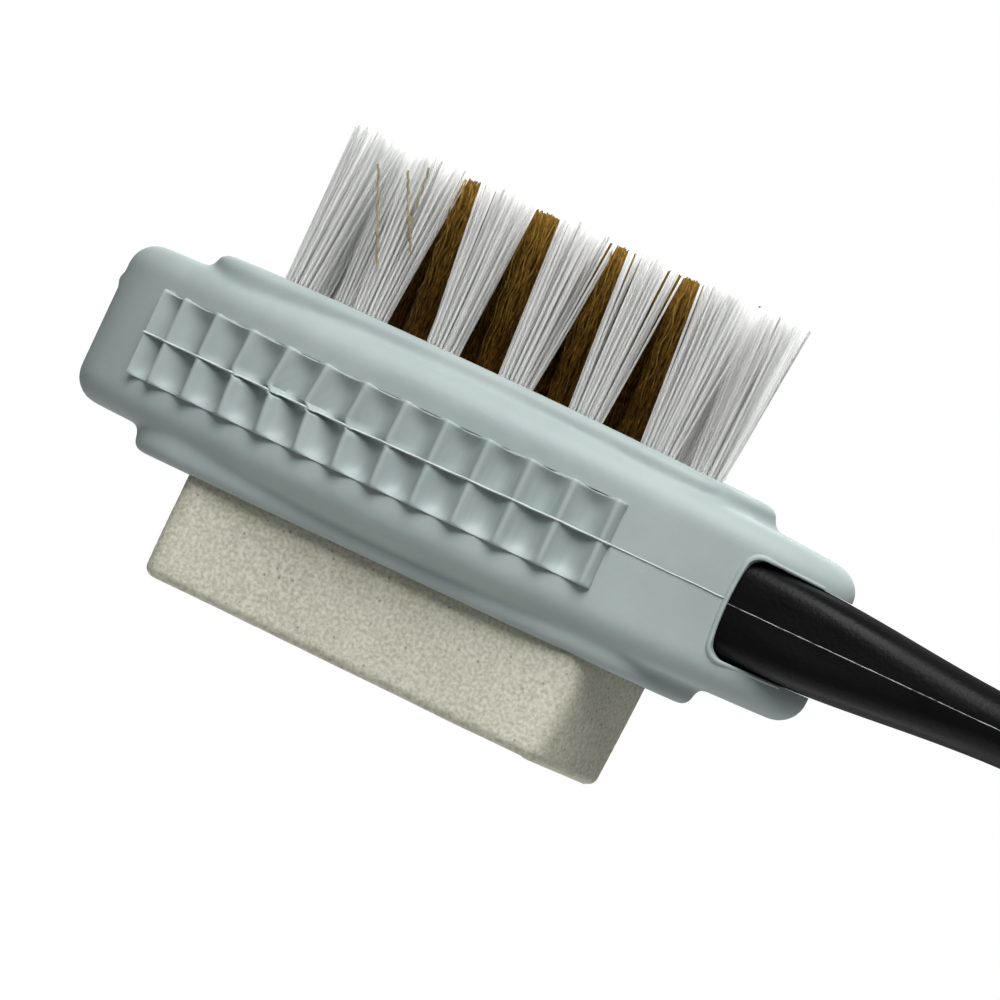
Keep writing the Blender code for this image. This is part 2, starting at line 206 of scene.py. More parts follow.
def collar_rings(side):
    levels = [(0.0, HALF_HEIGHT - EDGE_RADIUS)]
    for step in range(7):
        t = step / 6
        levels.append(((1 - t) ** SKIRT_CURVE, HALF_HEIGHT - SKIRT_BELOW + SKIRT_HEIGHT * t))
    walls = len(levels)
    for step in range(6):
        turn = math.radians(90 * step / 5)
        height = COLLAR_HALF_HEIGHT - RIM_RADIUS * (1 - math.sin(turn))
        levels.append((-RIM_RADIUS * (1 - math.cos(turn)), height))
    rings = []
    for number, (grow, z) in enumerate(levels):
        ring = []
        for i in range(SLEEVE_SIDES):
            angle = 2 * math.pi * i / SLEEVE_SIDES
            x, y = superellipse(COLLAR_HALF_LENGTH, COLLAR_HALF_DEPTH, COLLAR_SQUARENESS, angle)
            spread = grow * room_for_skirt(x, y) if number < walls else grow
            x, y = superellipse(
                COLLAR_HALF_LENGTH + spread, COLLAR_HALF_DEPTH + spread, COLLAR_SQUARENESS, angle)
            sag = COLLAR_SAG * (x / COLLAR_HALF_LENGTH) ** 2 if side > 0 and number >= walls else 0.0
            ring.append((x, y, AXIS_Z + side * z - sag))
        rings.append(ring)
    return rings


# %% [markdown]
# ## The ribbed combs
# Each long side carries a comb that lifts the nap of suede: narrow crests with a hollow scooped between
# each two. The hollow's profile is part of a rounded curve, steep beside a crest and flat in the middle,
# so a plain cosine won't do. The points are walked along the side curve at an even pitch. The two mould
# halves don't quite meet, so the crests lean apart towards the parting line, most of all near the toe.

# %% Comb profile
RIB_PITCH = 4.80 * MM
COMB_START = 12.75 * MM
FIRST_HOLLOW, WHOLE_HOLLOWS, LAST_RUN = 0.72, 11, 0.19
CREST, ROOT = 1.06 * MM, 2.4 * MM
HOLLOW_AT_MIDDLE, HOLLOW_AT_END = -0.8 * MM, 0.35 * MM
BED_DEPTH = 1.5 * MM
COMB_DIP = 0.3 * MM
LAND = 0.05
WAVE_STEPS = 32
COMB_STEPS = round((FIRST_HOLLOW + WHOLE_HOLLOWS + LAST_RUN) * WAVE_STEPS)
COMB_TOP, COMB_BOTTOM = 4.85 * MM, -4.5 * MM
COMB_EDGE = 0.34 * MM
LEAN_CENTRE, LEAN_SPREAD = 21 * MM, 11 * MM


def side_curve():
    steps = 2400
    points = [Vector(sleeve_plan(math.pi + math.pi * i / steps)) for i in range(steps + 1)]
    curve, travelled = [], 0.0
    for before, after in zip(points, points[1:]):
        run = after - before
        curve.append((travelled, before, Vector((run.y, -run.x)).normalized()))
        travelled += run.length
    return curve


SIDE = side_curve()
SIDE_RUNS = [run for run, _, _ in SIDE]


def at_distance(wanted):
    _, point, normal = SIDE[min(max(bisect.bisect(SIDE_RUNS, wanted), 1), len(SIDE) - 1)]
    return point, normal


def lean(distance, z):
    away = (distance - LEAN_CENTRE) / LEAN_SPREAD
    strength = math.exp(-away * away)
    if z >= 0:
        return -0.62 * MM * strength * (1 - min(z / COMB_TOP, 1.0)) ** 1.3
    return (0.22 + 0.45 * min(z / COMB_BOTTOM, 1.0) ** 1.6) * MM * strength


def rib_phase(step):
    """Crests fall on whole numbers; the first hollow is narrower than the rest."""
    pitches = step / WAVE_STEPS
    return pitches / FIRST_HOLLOW if pitches < FIRST_HOLLOW else pitches - FIRST_HOLLOW + 1


def rib_rise(phase, z=0.0):
    """How far the comb stands off the side; a hollow is deepest at the parting line."""
    in_rib = phase - math.floor(phase)
    edge = min(in_rib, 1 - in_rib)
    if edge < LAND:
        return CREST - 0.05 * MM * (edge / LAND) ** 2
    t = (edge - LAND) / (0.5 - LAND)
    reach = COMB_TOP if z >= 0 else COMB_BOTTOM
    outward = min(max(z / reach, 0.0), 1.0) ** 7
    floor_rise = HOLLOW_AT_MIDDLE + (HOLLOW_AT_END - HOLLOW_AT_MIDDLE) * outward
    scoop = 1 - (1 - t) ** 1.8
    return CREST - 0.05 * MM - (CREST - 0.05 * MM - floor_rise) * scoop


def edge_fall(distance_to_end):
    inside = min(max(distance_to_end, 0.0), COMB_EDGE)
    return COMB_EDGE - math.sqrt(COMB_EDGE ** 2 - (COMB_EDGE - inside) ** 2)


def comb_ring(z, inset, mirrored):
    outer, inner = [], []
    sign = -1 if mirrored else 1
    whole = RIB_PITCH * COMB_STEPS / WAVE_STEPS
    for i in range(COMB_STEPS + 1):
        distance = RIB_PITCH * i / WAVE_STEPS
        to_end = min(distance, whole - distance)
        point, normal = at_distance(COMB_START + distance + lean(distance, z) * min(to_end / RIB_PITCH, 1.0))
        rise = rib_rise(rib_phase(i), z) - inset - edge_fall(to_end)
        hollow = (CREST - rib_rise(rib_phase(i))) / (CREST - HOLLOW_AT_MIDDLE)
        dip = COMB_DIP * hollow * max(z / COMB_TOP, 0.0) ** 3
        outer.append((*(point + normal * rise), z - dip))
        if i % 12 == 0 or i == COMB_STEPS:
            inner.append((*(point - normal * ROOT), z))
    return [(x, sign * y, AXIS_Z + level) for x, y, level in outer + inner[::-1]]


def comb_rings(lower, mirrored):
    """Rings from the parting line to the rounded end of the ribs."""
    reach = COMB_BOTTOM if lower else COMB_TOP
    way = -1 if lower else 1
    levels = [(-way * 0.1 * MM, 0.0)]
    straight = abs(reach) - COMB_EDGE
    levels += [(way * straight * i / 9, 0.0) for i in range(1, 10)]
    for step in range(1, 6):
        turn = math.radians(90 * step / 5)
        levels.append((reach - way * COMB_EDGE * (1 - math.sin(turn)), COMB_EDGE * (1 - math.cos(turn))))
    return [comb_ring(z, inset, mirrored) for z, inset in levels]


def comb_bed_rings(mirrored):
    """A shallow trench that is cut first, so that the hollows may go below the side."""
    sign = -1 if mirrored else 1
    whole = RIB_PITCH * COMB_STEPS / WAVE_STEPS
    outer, inner = [], []
    for i in range(0, COMB_STEPS + 1, 4):
        distance = RIB_PITCH * i / WAVE_STEPS
        inside = min(max(distance, 0.15 * MM), whole - 0.15 * MM)
        point, normal = at_distance(COMB_START + inside)
        outer.append(point + normal * 2 * CREST)
        inner.append(point - normal * BED_DEPTH)
    outline = [(p.x, sign * p.y) for p in outer + inner[::-1]]
    low, high = COMB_BOTTOM + 0.15 * MM, COMB_TOP - 0.15 * MM
    return [[(x, y, AXIS_Z + z) for x, y in outline] for z in (low, high)]


print("comb length mm", round(RIB_PITCH * COMB_STEPS / WAVE_STEPS / MM, 1))

# %% [markdown]
# ## The handle's section
# The handle is a squashed round bar. Its root fills the heel of the sleeve, then it narrows to a neck and
# swells to a grip. The sleeve needs the same section for its bore, so this comes before both of them.

# %% Handle sections
ROOT_HALF_HEIGHT, ROOT_HALF_DEPTH, ROOT_END_X = 5.35 * MM, 8.4 * MM, 35 * MM
NECK_X, NECK_HALF_HEIGHT, NECK_HALF_DEPTH = 68 * MM, 3.4 * MM, 5.0 * MM
GRIP_X, GRIP_HALF_HEIGHT, GRIP_HALF_DEPTH = 102 * MM, 4.0 * MM, 7.8 * MM
END_ROUND = 7.0 * MM
HANDLE_SIDES = 96
ROOT_SQUARENESS, GRIP_SQUARENESS = 5.5, 2.4
END_X = handle_high.x + 0.04 * MM
ROOT_START_X = block_high.x + 0.3 * MM
PLATE_HALF = 2.0 * MM


def handle_half_sizes(x):
    to_neck = smoothstep(ROOT_END_X, NECK_X, x)
    to_grip = smoothstep(NECK_X, GRIP_X, x)
    depth = ROOT_HALF_DEPTH + (NECK_HALF_DEPTH - ROOT_HALF_DEPTH) * to_neck
    depth += (GRIP_HALF_DEPTH - NECK_HALF_DEPTH) * to_grip
    height = ROOT_HALF_HEIGHT + (NECK_HALF_HEIGHT - ROOT_HALF_HEIGHT) * to_neck
    height += (GRIP_HALF_HEIGHT - NECK_HALF_HEIGHT) * to_grip
    past = max(x - (END_X - END_ROUND), 0.0) / END_ROUND
    shrink = math.sqrt(max(1 - past * past, 0.0))
    return depth * shrink, height * (0.35 + 0.65 * shrink)


def handle_squareness(x):
    return ROOT_SQUARENESS + (GRIP_SQUARENESS - ROOT_SQUARENESS) * smoothstep(ROOT_END_X, NECK_X, x)


def handle_ring(x, grow=0.0):
    half_depth, half_height = handle_half_sizes(x)
    squareness = handle_squareness(x)
    ring = []
    for i in range(HANDLE_SIDES):
        y, z = superellipse(half_depth + grow, half_height + grow, squareness,
                            2 * math.pi * i / HANDLE_SIDES)
        ring.append((x, y, AXIS_Z + z))
    return ring


# %% [markdown]
# ## The slot and its lip
# The heel of the sleeve is slit from side to side, so two lobes grip the handle above and below. The
# slot's edge ends in a soft rolled lip. The lip follows the slot's outline, pressed onto the curved side,
# so each point takes its depth from the sleeve's plan.

# %% Slot outline and lip bead
SLOT_X = 35.7 * MM
SLOT_CORNER = 1.25 * MM
LIP_RADIUS = 0.4 * MM


def slot_half_height(x):
    return handle_half_sizes(x)[1] + 0.04 * MM


def slot_outline(grow=0.0):
    """From the heel along the top edge, down the closed end and back along the bottom, as (x, z) points."""
    corner = SLOT_CORNER + grow
    left = SLOT_X - grow
    points = []
    runs = 40
    for i in range(runs + 1):
        x = sleeve_high.x + (left + corner - sleeve_high.x) * i / runs
        points.append((x, slot_half_height(x) + grow))
    top = points[-1][1]
    for i in range(1, 9):
        turn = math.radians(90 * i / 8)
        points.append((left + corner * (1 - math.sin(turn)), top - corner * (1 - math.cos(turn))))
    straight = top - corner
    for i in range(1, 12):
        z = straight * (1 - i / 12)
        points.append((left - 0.25 * MM * (1 - (z / straight) ** 2), z))
    bottom = [(x, -z) for x, z in reversed(points)]
    return points + [(left - 0.25 * MM, 0.0)] + bottom


def side_depth(x):
    reach = HEEL_REACH if x > BULGE_X else TOE_REACH
    share = min(abs(x - BULGE_X) / reach, 1.0)
    return HALF_DEPTH * (1 - share * share) ** (DEPTH_POWER / 2)


def lip_loops(mirrored):
    sign = -1 if mirrored else 1
    path = []
    for x, z in slot_outline(0.2 * MM):
        if x > sleeve_high.x - 1.6 * MM:
            continue
        slope = (side_depth(x + 0.1 * MM) - side_depth(x - 0.1 * MM)) / (0.2 * MM)
        outwards = Vector((-slope, -1, 0)).normalized()
        wander = 0.09 * MM * noise.noise(Vector((x * 500, z * 500, sign)))
        spot = Vector((x, -side_depth(x), AXIS_Z + z)) + outwards * (wander - 0.1 * MM)
        path.append(Vector((spot.x, sign * spot.y, spot.z)))
    loops = []
    last = len(path) - 1
    for i, spot in enumerate(path):
        along = (path[min(i + 1, last)] - path[max(i - 1, 0)]).normalized()
        side = along.cross(Vector((0, 1, 0))).normalized()
        up = side.cross(along)
        thick = LIP_RADIUS * (1 - 0.45 * smoothstep(SLOT_X, SLOT_X + 3 * MM, spot.x))
        loops.append([
            spot + thick * (side * math.cos(a) + up * math.sin(a))
            for a in (2 * math.pi * k / 12 for k in range(12))
        ])
    return loops


def ring_end_shape(name, loops):
    bm = bmesh.new()
    skin_rings(bm, loops)
    return place(name, bm)


def slot_tool():
    outline = slot_outline() + [(sleeve_high.x + 4 * MM, -6 * MM), (sleeve_high.x + 4 * MM, 6 * MM)]
    bm = bmesh.new()
    skin_rings(bm, [[(x, y, AXIS_Z + z) for x, z in outline] for y in (-20 * MM, 20 * MM)])
    return place("slot_tool", bm)


# %% [markdown]
# ## One moulding from many shapes
# The puck and its collars run into each other softly, without a crease. A Boolean union would leave hard
# inner corners there, so a voxel remesh fuses them and a light smooth rounds the corners. The combs and
# the lip have crisp edges, and a remesh fine enough for them would be huge, so they join by a Boolean
# afterwards. The windows and the bore are cut last, so that what sits in them keeps its even gap.

# %% Fuse the sleeve
VOXEL = 0.36 * MM
SMOOTH_PASSES = 4
NUB_Z = 3.9 * MM
NUB_RADIUS = 0.95 * MM
BORE_GAP = 0.12 * MM


def combine(thing, tool, operation):
    modifier = thing.modifiers.new("combine", "BOOLEAN")
    modifier.operation = operation
    modifier.solver = "MANIFOLD"
    modifier.object = tool
    keep_modifiers(thing)
    bpy.data.objects.remove(tool)
    if not thing.data.polygons:
        raise ValueError(thing.name + " came out empty")


def add_gate_nub(bm):
    """The stub where the rubber flowed into the mould, trimmed by hand."""
    nub = bmesh.ops.create_uvsphere(bm, u_segments=24, v_segments=16, radius=NUB_RADIUS)
    for vertex in nub["verts"]:
        vertex.co.y *= 1.6
        vertex.co.x += sleeve_low.x + NUB_RADIUS
        vertex.co.z += AXIS_Z + NUB_Z


def soft_body():
    bm = bmesh.new()
    skin_rings(bm, puck_rings())
    for side in (1, -1):
        skin_rings(bm, collar_rings(side))
    add_gate_nub(bm)
    body = place("moulded_sleeve", bm)
    remesh = body.modifiers.new("fuse", "REMESH")
    remesh.mode = "VOXEL"
    remesh.voxel_size = VOXEL
    remesh.use_smooth_shade = True
    soften = body.modifiers.new("soften", "SMOOTH")
    soften.factor = 0.5
    soften.iterations = SMOOTH_PASSES
    return keep_modifiers(body)


def comb_half(lower, mirrored):
    bm = bmesh.new()
    skin_rings(bm, comb_rings(lower, mirrored))
    return place("comb_half", bm)


def window_tool(name, low, high, radius, bottom, top):
    gap = 0.3 * MM
    middle_x = (low.x + high.x) / 2
    outline = rounded_rectangle((high.x - low.x) / 2 + gap, (high.y - low.y) / 2 + gap, radius, 10)
    bm = bmesh.new()
    skin_rings(bm, [[(x + middle_x, y, z) for x, y in outline] for z in (bottom, top)])
    return place(name, bm)


def bore_tool():
    bm = bmesh.new()
    stations = [ROOT_START_X - 0.3 * MM] + [ROOT_END_X + 1.5 * MM * i for i in range(10)]
    skin_rings(bm, [handle_ring(x, BORE_GAP) for x in stations])
    return place("bore_tool", bm)


def build_sleeve():
    body = soft_body()
    for mirrored in (False, True):
        bm = bmesh.new()
        skin_rings(bm, comb_bed_rings(mirrored))
        combine(body, place("comb_bed", bm), "DIFFERENCE")
        for lower in (False, True):
            combine(body, comb_half(lower, mirrored), "UNION")
        combine(body, ring_end_shape("lip", lip_loops(mirrored)), "UNION")
    middle = AXIS_Z - PLATE_HALF - 0.3 * MM
    far = 40 * MM
    block_window = window_tool("block_window", block_low, block_high, 3.7 * MM, middle, AXIS_Z + far)
    combine(body, block_window, "DIFFERENCE")
    eraser_top = middle + 0.3 * MM
    eraser_window = window_tool("eraser_window", eraser_low, eraser_high, 2.9 * MM, AXIS_Z - far, eraser_top)
    combine(body, eraser_window, "DIFFERENCE")
    combine(body, bore_tool(), "DIFFERENCE")
    combine(body, slot_tool(), "DIFFERENCE")
    body.data.shade_smooth()
    body.data.set_sharp_from_angle(angle=math.radians(38))
    return body


sleeve = build_sleeve()
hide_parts("rubber_sleeve")
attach(sleeve, "root")
print("sleeve faces", len(sleeve.data.polygons))

# %% [markdown]
# ## Flash at the parting line
# Rubber creeps between the mould halves and leaves a thin ragged fin. It is modelled as a narrow strip
# with a three-cornered section that follows the ribs, because a bump in the finish would vanish in
# profile.

# %% Sleeve flash
FLASH_HALF_WIDTH = 0.15 * MM
FLASH_CLIMB = 0.38 * MM
WEB_SHARE = 0.5


def flash_strip(name, mirrored):
    sign = -1 if mirrored else 1
    wander = random.Random(11 if mirrored else 7)
    rings = []
    total = COMB_STEPS + 110
    for i in range(total):
        distance = RIB_PITCH * i / WAVE_STEPS
        on_comb = i <= COMB_STEPS
        follow = lean(distance, 0.0) * min(distance / RIB_PITCH, 1.0) if on_comb else 0.0
        point, normal = at_distance(COMB_START + distance + follow)
        if point.x > SLOT_X - 0.7 * MM:
            break
        rise = rib_rise(rib_phase(i)) if on_comb else 0.0
        web = WEB_SHARE * (CREST - rise) if on_comb else 0.0
        fin = web + (0.16 if on_comb else 0.1) * MM * (0.7 + 0.6 * wander.random())
        climb = FLASH_CLIMB * smoothstep(22 * MM, 55 * MM, distance)
        z = AXIS_Z + climb + 0.05 * MM * noise.noise(Vector((i * 0.06, 0, 3)))
        base = point + normal * (rise - 0.2 * MM)
        tip = point + normal * (rise + fin)
        half = FLASH_HALF_WIDTH if on_comb else 0.6 * FLASH_HALF_WIDTH
        rings.append([
            (base.x, sign * base.y, z - half),
            (base.x, sign * base.y, z + half),
            (tip.x, sign * tip.y, z + 0.05 * MM),
            (tip.x, sign * tip.y, z - 0.05 * MM),
        ])
    bm = bmesh.new()
    skin_rings(bm, rings)
    strip = place(name, bm)
    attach(strip, "root")
    return strip


near_flash = flash_strip("sleeve_flash_near", False)
far_flash = flash_strip("sleeve_flash_far", True)

# %% [markdown]
# ## The handle
# One moulding makes the grip, the neck, the root and a flat core plate that the block and the eraser sit
# on. The bar is a loft; the plate and a short tongue are joined to it with Booleans and the hanging hole
# is cut through.

# %% Handle moulding
HOLE_X = handle_high.x - 10 * MM
HOLE_HALF_LENGTH, HOLE_HALF_WIDTH = 4.6 * MM, 3.2 * MM
END_TURN = 83.5
TONGUE_OVERLAP, TONGUE_DEPTH_SHARE, TONGUE_HEIGHT_SHARE = 3 * MM, 0.7, 0.9


def handle_stations():
    stations = [ROOT_START_X]
    straight_end = END_X - END_ROUND
    straight_count, round_count = 70, 12
    run = (straight_end - ROOT_START_X) / straight_count
    stations += [ROOT_START_X + run * i for i in range(1, straight_count + 1)]
    turns = [math.radians(END_TURN * i / round_count) for i in range(1, round_count + 1)]
    return stations + [straight_end + END_ROUND * math.sin(turn) for turn in turns]


def build_handle():
    bm = bmesh.new()
    skin_rings(bm, [handle_ring(x) for x in handle_stations()])
    handle = place("moulded_handle", bm)
    middle_x = (block_low.x + block_high.x) / 2
    half_x, half_y = (block_high.x - block_low.x) / 2, (block_high.y - block_low.y) / 2
    plate = [(x + middle_x, y) for x, y in rounded_rectangle(half_x, half_y, 3.4 * MM, 10)]
    bm = bmesh.new()
    skin_rings(bm, [[(x, y, AXIS_Z + z) for x, y in plate] for z in (-PLATE_HALF, PLATE_HALF)])
    combine(handle, place("plate_tool", bm), "UNION")
    bm = bmesh.new()
    half_y, half_z = ROOT_HALF_DEPTH * TONGUE_DEPTH_SHARE, PLATE_HALF * TONGUE_HEIGHT_SHARE
    corners = ((-1, -1), (1, -1), (1, 1), (-1, 1))
    skin_rings(bm, [
        [(x, sy * half_y, AXIS_Z + sz * half_z) for sy, sz in corners]
        for x in (ROOT_START_X - TONGUE_OVERLAP, ROOT_END_X)
    ])
    combine(handle, place("tongue_tool", bm), "UNION")
    bm = bmesh.new()
    hole = rounded_rectangle(HOLE_HALF_LENGTH, HOLE_HALF_WIDTH, HOLE_HALF_WIDTH * 0.99, 12)
    skin_rings(bm, [[(x + HOLE_X, y, AXIS_Z + z) for x, y in hole] for z in (-8 * MM, 8 * MM)])
    combine(handle, place("hole_tool", bm), "DIFFERENCE")
    soften = handle.modifiers.new("edges", "BEVEL")
    soften.width = 0.35 * MM
    soften.segments = 3
    soften.limit_method = "ANGLE"
    soften.angle_limit = math.radians(45)
    keep_modifiers(handle)
    handle.data.shade_smooth()
    handle.data.set_sharp_from_angle(angle=math.radians(50))
    return handle


handle = build_handle()
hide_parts("handle")
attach(handle, "root")
print("handle faces", len(handle.data.polygons))

# %% [markdown]
# The handle's own parting line shows as a fine pale, broken thread down each side, its grey patches painted
# into the colour. It gets the same kind of strip.

# %% Handle flash
def handle_flash(name, sign):
    wander = random.Random(21 + sign)
    rings = []
    start = ROOT_END_X + 0.4 * MM
    count = 300
    for i in range(count + 1):
        x = start + (END_X - END_ROUND * 1.4 - start) * i / count
        depth, _ = handle_half_sizes(x)
        rise = (0.02 + 0.07 * wander.random()) * MM
        z = AXIS_Z + 0.03 * MM * noise.noise(Vector((i * 0.2, sign, 0)))
        y0, y1 = sign * (depth - 0.1 * MM), sign * (depth + rise)
        base, edge = 0.1 * MM, 0.02 * MM
        rings.append([(x, y0, z - base), (x, y0, z + base), (x, y1, z + edge), (x, y1, z - edge)])
    bm = bmesh.new()
    skin_rings(bm, rings)
    strip = place(name, bm)
    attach(strip, "root")
    return strip


handle_near_flash = handle_flash("handle_flash_near", -1)
handle_far_flash = handle_flash("handle_flash_far", 1)

# %% [markdown]
# ## The eraser
# The block is cast from rubber full of grit. Its corners wear round and its faces are never quite flat, so
# a dense box is pushed about by noise at two scales: broad dips from use, and grains a third of a
# millimetre across.

# %% Eraser block
GRAIN = 0.045 * MM
WEDGE, DRAFT = 0.5 * MM, 0.5 * MM


def build_eraser():
    half_x, half_y = (eraser_high.x - eraser_low.x) / 2, (eraser_high.y - eraser_low.y) / 2
    middle_x = (eraser_high.x + eraser_low.x) / 2
    edge, corner = 1.1 * MM, 2.6 * MM
    levels = []
    for step in range(7):
        turn = math.radians(90 * step / 6)
        levels.append((edge * (1 - math.sin(turn)), eraser_low.z + edge * (1 - math.cos(turn))))
    rows = 48
    first = levels[-1][1]
    levels += [(0.0, first + (eraser_high.z - first) * i / rows) for i in range(1, rows + 1)]
    long_runs = round(2 * (half_x - corner) / (0.4 * MM))
    short_runs = round(2 * (half_y - corner) / (0.4 * MM))
    rings = []
    for inset, z in levels:
        coarse = rounded_rectangle(half_x - inset, half_y - inset, corner - inset * 0.9, 8)
        ring = []
        for i, (x0, y0) in enumerate(coarse):
            x1, y1 = coarse[(i + 1) % len(coarse)]
            runs = 1
            if i % 9 == 8:
                runs = long_runs if (i // 9) % 2 == 0 else short_runs
            ring += [(x0 + (x1 - x0) * k / runs, y0 + (y1 - y0) * k / runs) for k in range(runs)]
        rings.append([(x + middle_x, y, z) for x, y in ring])
    bm = bmesh.new()
    skin_rings(bm, rings)
    rim_z = AXIS_Z - COLLAR_HALF_HEIGHT
    for vertex in bm.verts:
        down = max((rim_z - vertex.co.z) / (rim_z - eraser_low.z), 0.0)
        along = (vertex.co.x - eraser_low.x) / (eraser_high.x - eraser_low.x)
        vertex.co.z += WEDGE * (1 - along) * down
        vertex.co.x -= DRAFT * down * along ** 4
    bmesh.ops.recalc_face_normals(bm, faces=bm.faces)
    bm.normal_update()
    hidden = rim_z + 2 * MM
    for vertex in bm.verts:
        if vertex.co.z > hidden or vertex.co.z < eraser_low.z + 0.02 * MM:
            continue
        grain = noise.noise(vertex.co * 3000) + 0.6 * noise.noise(vertex.co * 6000 + Vector((5, 1, 2)))
        wear = noise.noise(vertex.co * 110)
        vertex.co -= vertex.normal * (abs(grain) * GRAIN + (wear + 0.6) * 0.1 * MM)
    return place("gritty_eraser", bm)


eraser = build_eraser()
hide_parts("eraser_block")
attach(eraser, "root")
print("eraser faces", len(eraser.data.polygons))

# %% [markdown]
# ## Filaments
# Every tuft is a bundle of loose filaments folded into its hole. A cone with a streaky finish would look
# solid, so each filament is its own thin tube. They start packed in the hole's mouth and fan out with
# height. All the tubes of a tuft are one mesh, made from plain lists, because thousands of separate
# objects would be slow.

# %% Filament tubes
def add_tube(points, faces, path, radius, sides):
    start = len(points)
    rings = len(path)
    for i, spot in enumerate(path):
        along = (path[min(i + 1, rings - 1)] - path[max(i - 1, 0)]).normalized()
        side = along.cross(Vector((0, 1, 0.01))).normalized()
        up = side.cross(along)
        for k in range(sides):
            angle = 2 * math.pi * k / sides
            points.append(spot + radius * (side * math.cos(angle) + up * math.sin(angle)))
    for i in range(rings - 1):
        for k in range(sides):
            a = start + i * sides + k
            b = start + i * sides + (k + 1) % sides
            faces.append((a, a + sides, b + sides, b))
    faces.append(tuple(start + k for k in range(sides)))
    faces.append(tuple(start + (rings - 1) * sides + k for k in reversed(range(sides))))


def tube_object(name, points, faces):
    mesh = bpy.data.meshes.new(name)
    mesh.from_pydata(points, [], faces)
    mesh.update()
    bm = bmesh.new()
    bm.from_mesh(mesh)
    bmesh.ops.recalc_face_normals(bm, faces=bm.faces)
    bm.to_mesh(mesh)
    bm.free()
    mesh.shade_smooth()
    mesh.set_sharp_from_angle(angle=math.radians(60))
    thing = bpy.data.objects.new(name, mesh)
    bpy.context.scene.collection.objects.link(thing)
    return thing


def disc_spots(count, radius, spin):
    """Evenly spread places in a circle, by the sunflower rule."""
    golden = math.pi * (3 - math.sqrt(5))
    return [
        (radius * math.sqrt((i + 0.5) / count) * math.cos(i * golden + spin),
         radius * math.sqrt((i + 0.5) / count) * math.sin(i * golden + spin))
        for i in range(count)
    ]


# %% [markdown]
# ## Nylon and brass tufts
# Nylon is stiff and nearly straight, and the factory shears it level, so the tips make a slightly wavy
# roof. Brass wire is thinner, crimped along its length, and ends a little lower. A few wires always stray
# from the bundle.

# %% Tufts
MOUTH_RADIUS = 1.62 * MM
NYLON_RADIUS, NYLON_COUNT = 0.14 * MM, 62
BRASS_RADIUS, BRASS_COUNT = 0.085 * MM, 150
BRASS_WAVES, BRASS_WAVE_SIZE = 4.5, 0.16 * MM


first_tuft_x = min((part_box(name)[0].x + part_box(name)[1].x) / 2 for name in tuft_names)


def tuft_place(name):
    low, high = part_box(name)
    return (low.x + high.x) / 2, (low.y + high.y) / 2


def nylon_tuft(node):
    x, y = tuft_place(node)
    lean_x, lean_y = rng.uniform(-0.3, 0.3) * MM, rng.uniform(-0.2, 0.2) * MM
    if x < first_tuft_x + 1 * MM:
        lean_x = 1.0 * MM
    roof = 0.3 * MM * noise.noise(Vector((x * 130, y * 130, 1)))
    points, faces = [], []
    for dx, dy in disc_spots(NYLON_COUNT, MOUTH_RADIUS, rng.uniform(0, 6)):
        share = math.hypot(dx, dy) / MOUTH_RADIUS
        fan = 1.72 + rng.uniform(-0.22, 0.34)
        tip = Vector((
            x + dx * fan + lean_x + rng.gauss(0, 0.45 if rng.random() < 0.15 else 0.16) * MM,
            y + dy * fan * 0.94 + lean_y + rng.gauss(0, 0.12) * MM,
            TIP_Z - 0.3 * MM + roof - 0.45 * MM * share * share - abs(rng.gauss(0, 0.13)) * MM,
        ))
        tip.z = min(tip.z, TIP_Z - 0.02 * MM)
        root = Vector((x + dx, y + dy, block_high.z - 0.5 * MM))
        bow = Vector((rng.gauss(0, 0.10), rng.gauss(0, 0.08), 0)) * MM
        steps = 7
        path = [root.lerp(tip, i / steps) + bow * math.sin(math.pi * i / steps) for i in range(steps + 1)]
        add_tube(points, faces, path, NYLON_RADIUS * rng.uniform(0.85, 1.12), 6)
    return tube_object("filaments_" + node, points, faces)


def crimped_path(root, tip, steps, phase, size):
    path = []
    for i in range(steps + 1):
        t = i / steps
        sway = size * math.sin(2 * math.pi * BRASS_WAVES * t + phase)
        path.append(root.lerp(tip, t) + Vector((sway, 0.5 * sway * math.cos(phase), 0)))
    return path


def brass_tuft(node):
    x, y = tuft_place(node)
    points, faces = [], []
    for dx, dy in disc_spots(BRASS_COUNT, MOUTH_RADIUS, rng.uniform(0, 6)):
        fan = 1.75 + rng.uniform(-0.25, 0.35)
        tip = Vector((
            x + dx * fan + rng.gauss(0, 0.3) * MM,
            y + dy * fan + rng.gauss(0, 0.2) * MM,
            TIP_Z - 1.0 * MM - abs(rng.gauss(0, 0.55)) * MM,
        ))
        root = Vector((x + dx, y + dy, block_high.z - 0.5 * MM))
        path = crimped_path(root, tip, 18, rng.uniform(0, 6.28), BRASS_WAVE_SIZE * rng.uniform(0.5, 1.5))
        add_tube(points, faces, path, BRASS_RADIUS, 4)
    return tube_object("filaments_" + node, points, faces)


tufts = {}
for node in tuft_names:
    is_brass = node.startswith("brass")
    tuft = brass_tuft(node) if is_brass else nylon_tuft(node)
    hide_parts(node)
    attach(tuft, "root")
    tufts[node] = tuft
print("tufts", len(tufts), "faces", sum(len(t.data.polygons) for t in tufts.values()))

# %% [markdown]
# A handful of brass wires have sprung out in front of the nylon. Each is placed between two listed ends.

# %% Stray wires
STRAYS = (
    ((-18.0, -9.2, 25.0), (-13.9, -8.0, 15.6)),
    ((-14.8, -9.2, 25.7), (-12.8, -8.3, 21.0)),
    ((-12.7, -9.0, 21.6), (-11.2, -8.0, 18.2)),
    ((-13.0, -8.8, 26.8), (-12.4, -8.1, 19.6)),
    ((0.8, -5.0, 25.4), (4.2, -4.2, 19.6)),
    ((-7.4, -5.2, 26.4), (-3.2, -4.4, 15.6)),
)


